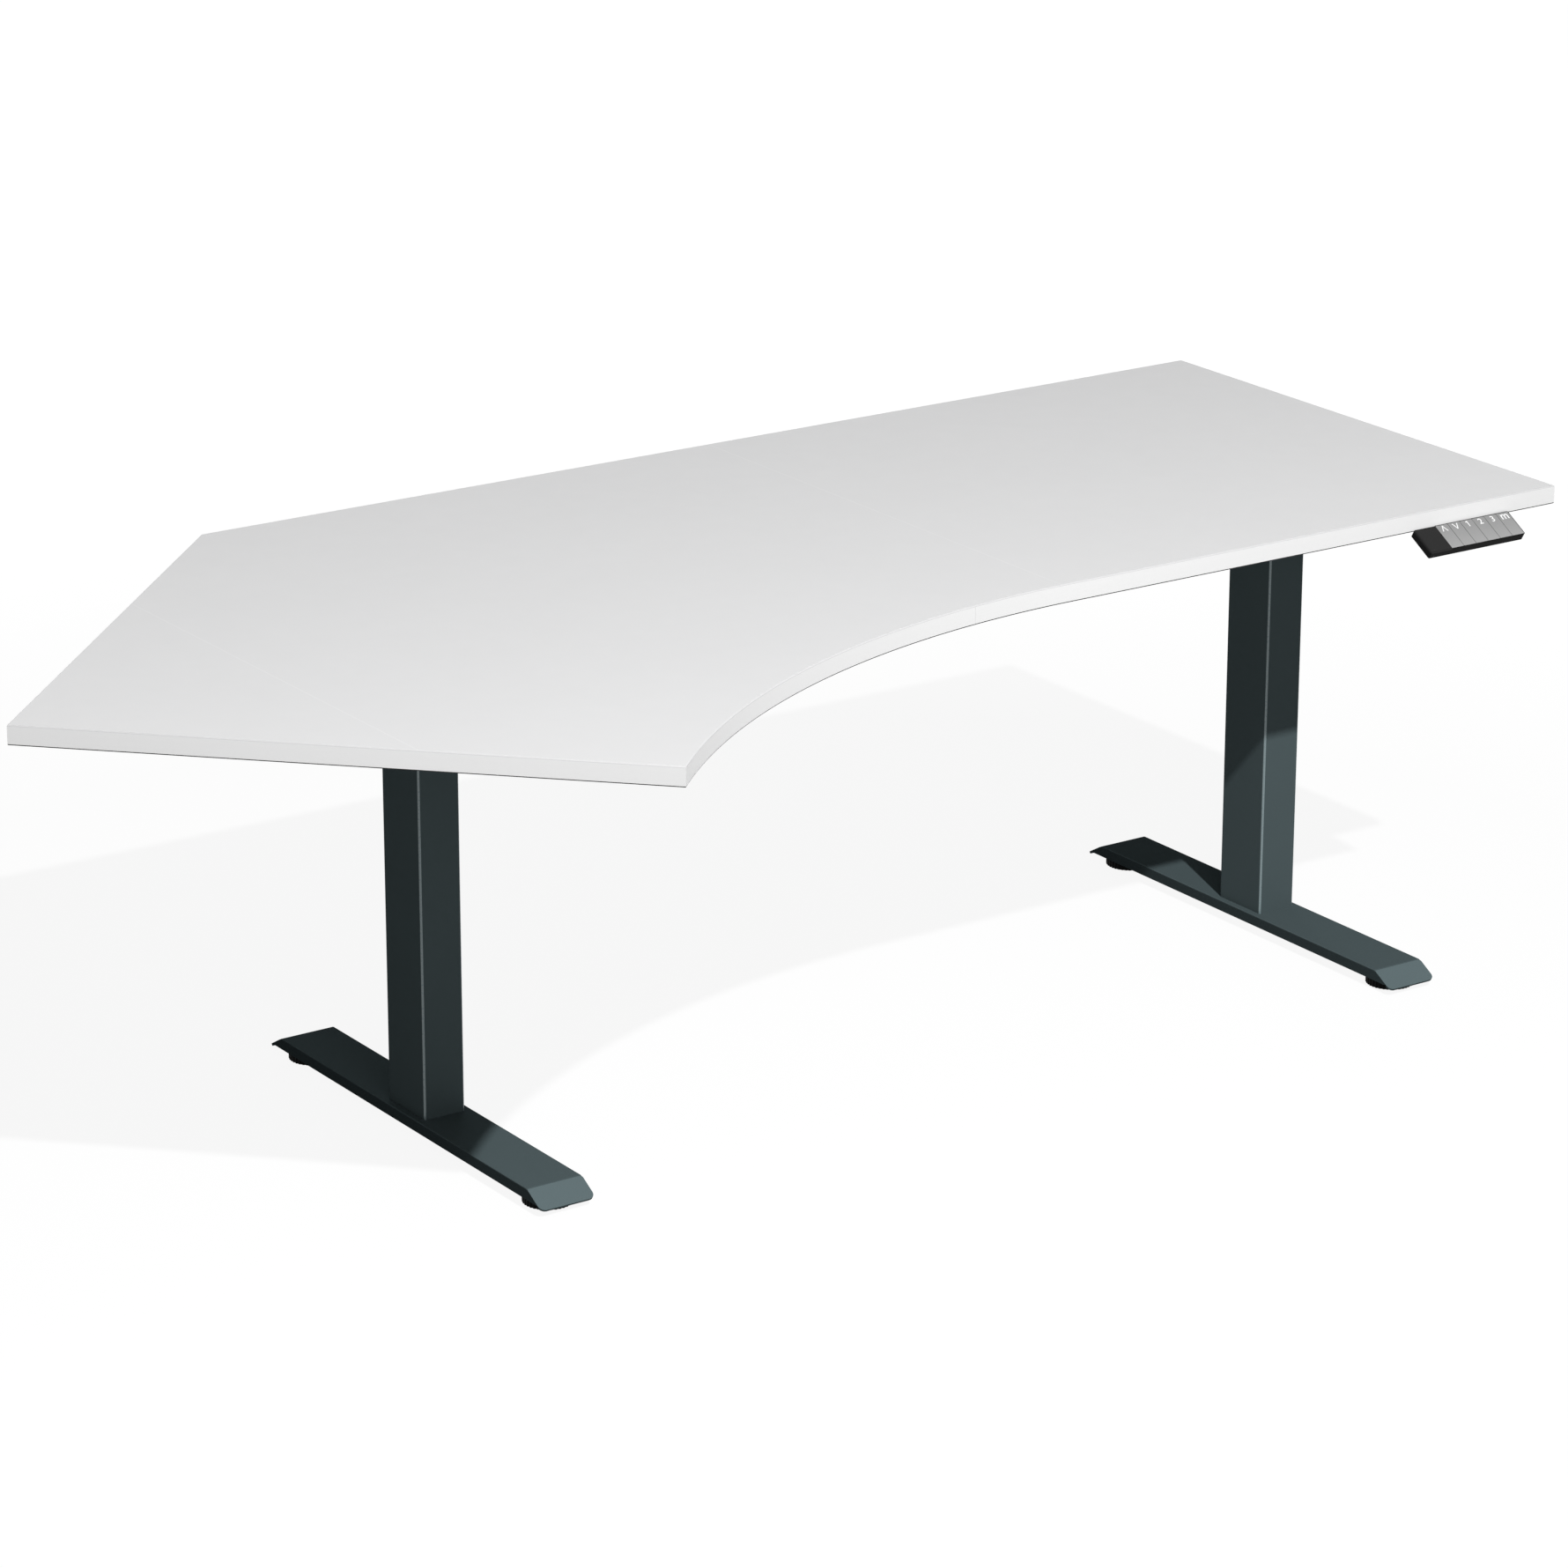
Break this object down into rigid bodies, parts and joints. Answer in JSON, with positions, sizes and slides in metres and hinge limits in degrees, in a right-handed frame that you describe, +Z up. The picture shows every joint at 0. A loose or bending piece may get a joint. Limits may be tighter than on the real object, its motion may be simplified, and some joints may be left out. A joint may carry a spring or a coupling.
{
  "type": "height adjustable standing desk",
  "caption": "Electric standing desk: swept white top with an angled wing, two telescopic anthracite columns on flat feet with levelling glides, and a key handset at the front edge.",
  "frame": {"origin": "on the floor, under the middle of the top's bounding rectangle", "axes": "+X right along the straight back edge, +Y to the back, +Z up"},
  "size_m": [2.1656, 1.1314, 0.705],
  "materials": {
    "top_laminate": "matte pale grey-white melamine",
    "edge_plastic": "matte white edge band",
    "frame_paint": "satin anthracite powder coat",
    "black_plastic": "fine matte black",
    "key_grey": "satin mid grey",
    "display_black": "dark glossy window",
    "zinc_steel": "zinc plated",
    "tube_steel": "drawn steel, oiled",
    "cast_alloy": "die cast",
    "wheel_bronze": "machined bronze",
    "pad_rubber": "matte rubber",
    "board_green": "circuit board",
    "motor_black": "black lacquered can"
  },
  "bodies": {
    "left_base": {"left_foot": "frame_paint", "left_outer_tube": "frame_paint", "left_guide_collar": "black_plastic", "left_foot_bolts": "zinc_steel", "left_thrust_tube": "tube_steel", "left_spindle_nut": "black_plastic"},
    "right_base": {"right_foot": "frame_paint", "right_outer_tube": "frame_paint", "right_guide_collar": "black_plastic", "right_foot_bolts": "zinc_steel", "right_thrust_tube": "tube_steel", "right_spindle_nut": "black_plastic"},
    "top_frame": {"desktop_board": "top_laminate", "edge_band": "edge_plastic", "left_console": "frame_paint", "right_console": "frame_paint", "front_rail": "frame_paint", "rear_rail": "frame_paint", "wing_arm": "frame_paint", "frame_screws": "zinc_steel", "top_screws": "zinc_steel", "left_inner_tube": "frame_paint", "left_slipper": "black_plastic", "left_gearbox": "cast_alloy", "left_motor": "motor_black", "left_head_bolts": "zinc_steel", "left_spindle_bearing": "tube_steel", "right_inner_tube": "frame_paint", "right_slipper": "black_plastic", "right_gearbox": "cast_alloy", "right_motor": "motor_black", "right_head_bolts": "zinc_steel", "right_spindle_bearing": "tube_steel", "control_box_shell": "black_plastic", "control_box_cover": "black_plastic", "control_board": "board_green", "handset_housing": "black_plastic", "display_window": "display_black", "handset_base": "black_plastic", "handset_board": "board_green"},
    "left_screw": {"left_spindle": "tube_steel", "left_worm_wheel": "wheel_bronze"},
    "left_worm_shaft": {"left_worm": "tube_steel"},
    "right_screw": {"right_spindle": "tube_steel", "right_worm_wheel": "wheel_bronze"},
    "right_worm_shaft": {"right_worm": "tube_steel"},
    "left_front_floor_pad": {"left_front_pad": "pad_rubber"},
    "left_front_glide_wheel": {"left_front_glide": "black_plastic"},
    "left_rear_floor_pad": {"left_rear_pad": "pad_rubber"},
    "left_rear_glide_wheel": {"left_rear_glide": "black_plastic"},
    "right_front_floor_pad": {"right_front_pad": "pad_rubber"},
    "right_front_glide_wheel": {"right_front_glide": "black_plastic"},
    "right_rear_floor_pad": {"right_rear_pad": "pad_rubber"},
    "right_rear_glide_wheel": {"right_rear_glide": "black_plastic"},
    "up_key": {"key_up": "key_grey"},
    "down_key": {"key_down": "key_grey"},
    "one_key": {"key_one": "key_grey"},
    "two_key": {"key_two": "key_grey"},
    "three_key": {"key_three": "key_grey"},
    "memory_key": {"key_memory": "key_grey"}
  },
  "joints": [
    {"name": "lift", "type": "slide", "parent": "left_base", "child": "top_frame", "axis": [0, 0, 1], "range_m": [-0.025, 0.455]},
    {"name": "right_lift", "type": "slide", "parent": "top_frame", "child": "right_base", "axis": [0, 0, -1], "range_m": [-0.025, 0.455]},
    {"name": "left_screw_turn", "type": "hinge", "parent": "top_frame", "child": "left_screw", "pos_m": [-0.4342, 0.16568, 0.6], "axis": [0, 0, 1], "continuous": true},
    {"name": "left_worm_turn", "type": "hinge", "parent": "top_frame", "child": "left_worm_shaft", "pos_m": [-0.4342, 0.19068, 0.656], "axis": [1, 0, 0], "continuous": true},
    {"name": "right_screw_turn", "type": "hinge", "parent": "top_frame", "child": "right_screw", "pos_m": [0.9228, 0.16568, 0.6], "axis": [0, 0, 1], "continuous": true},
    {"name": "right_worm_turn", "type": "hinge", "parent": "top_frame", "child": "right_worm_shaft", "pos_m": [0.9228, 0.19068, 0.656], "axis": [1, 0, 0], "continuous": true},
    {"name": "left_front_glide_height", "type": "slide", "parent": "left_base", "child": "left_front_floor_pad", "axis": [0, 0, -1], "range_m": [0, 0.006]},
    {"name": "left_front_glide_turn", "type": "hinge", "parent": "left_front_floor_pad", "child": "left_front_glide_wheel", "pos_m": [-0.4342, -0.12532, 0], "axis": [0, 0, -1], "range_deg": [0, 1080]},
    {"name": "left_rear_glide_height", "type": "slide", "parent": "left_base", "child": "left_rear_floor_pad", "axis": [0, 0, -1], "range_m": [0, 0.006]},
    {"name": "left_rear_glide_turn", "type": "hinge", "parent": "left_rear_floor_pad", "child": "left_rear_glide_wheel", "pos_m": [-0.4342, 0.45669, 0], "axis": [0, 0, -1], "range_deg": [0, 1080]},
    {"name": "right_front_glide_height", "type": "slide", "parent": "right_base", "child": "right_front_floor_pad", "axis": [0, 0, -1], "range_m": [0, 0.006]},
    {"name": "right_front_glide_turn", "type": "hinge", "parent": "right_front_floor_pad", "child": "right_front_glide_wheel", "pos_m": [0.9228, -0.12532, 0], "axis": [0, 0, -1], "range_deg": [0, 1080]},
    {"name": "right_rear_glide_height", "type": "slide", "parent": "right_base", "child": "right_rear_floor_pad", "axis": [0, 0, -1], "range_m": [0, 0.006]},
    {"name": "right_rear_glide_turn", "type": "hinge", "parent": "right_rear_floor_pad", "child": "right_rear_glide_wheel", "pos_m": [0.9228, 0.45669, 0], "axis": [0, 0, -1], "range_deg": [0, 1080]},
    {"name": "up_key_press", "type": "slide", "parent": "top_frame", "child": "up_key", "axis": [0, 0.5135, -0.8581], "range_m": [0, 0.001], "stiffness_N_per_m": 600, "springref_m": -0.0008},
    {"name": "down_key_press", "type": "slide", "parent": "top_frame", "child": "down_key", "axis": [0, 0.5135, -0.8581], "range_m": [0, 0.001], "stiffness_N_per_m": 600, "springref_m": -0.0008},
    {"name": "one_key_press", "type": "slide", "parent": "top_frame", "child": "one_key", "axis": [0, 0.5135, -0.8581], "range_m": [0, 0.001], "stiffness_N_per_m": 600, "springref_m": -0.0008},
    {"name": "two_key_press", "type": "slide", "parent": "top_frame", "child": "two_key", "axis": [0, 0.5135, -0.8581], "range_m": [0, 0.001], "stiffness_N_per_m": 600, "springref_m": -0.0008},
    {"name": "three_key_press", "type": "slide", "parent": "top_frame", "child": "three_key", "axis": [0, 0.5135, -0.8581], "range_m": [0, 0.001], "stiffness_N_per_m": 600, "springref_m": -0.0008},
    {"name": "memory_key_press", "type": "slide", "parent": "top_frame", "child": "memory_key", "axis": [0, 0.5135, -0.8581], "range_m": [0, 0.001], "stiffness_N_per_m": 600, "springref_m": -0.0008}
  ],
  "couplings": [
    {"joint": "right_lift", "follows": "lift", "ratio": 1},
    {"joint": "left_screw_turn", "follows": "lift", "rad_per_m": 392.7},
    {"joint": "left_worm_turn", "follows": "lift", "rad_per_m": 9424.8},
    {"joint": "right_screw_turn", "follows": "lift", "rad_per_m": 392.7},
    {"joint": "right_worm_turn", "follows": "lift", "rad_per_m": 9424.8},
    {"joint": "left_front_glide_turn", "follows": "left_front_glide_height", "rad_per_m": 3141.6},
    {"joint": "left_rear_glide_turn", "follows": "left_rear_glide_height", "rad_per_m": 3141.6},
    {"joint": "right_front_glide_turn", "follows": "right_front_glide_height", "rad_per_m": 3141.6},
    {"joint": "right_rear_glide_turn", "follows": "right_rear_glide_height", "rad_per_m": 3141.6}
  ]
}
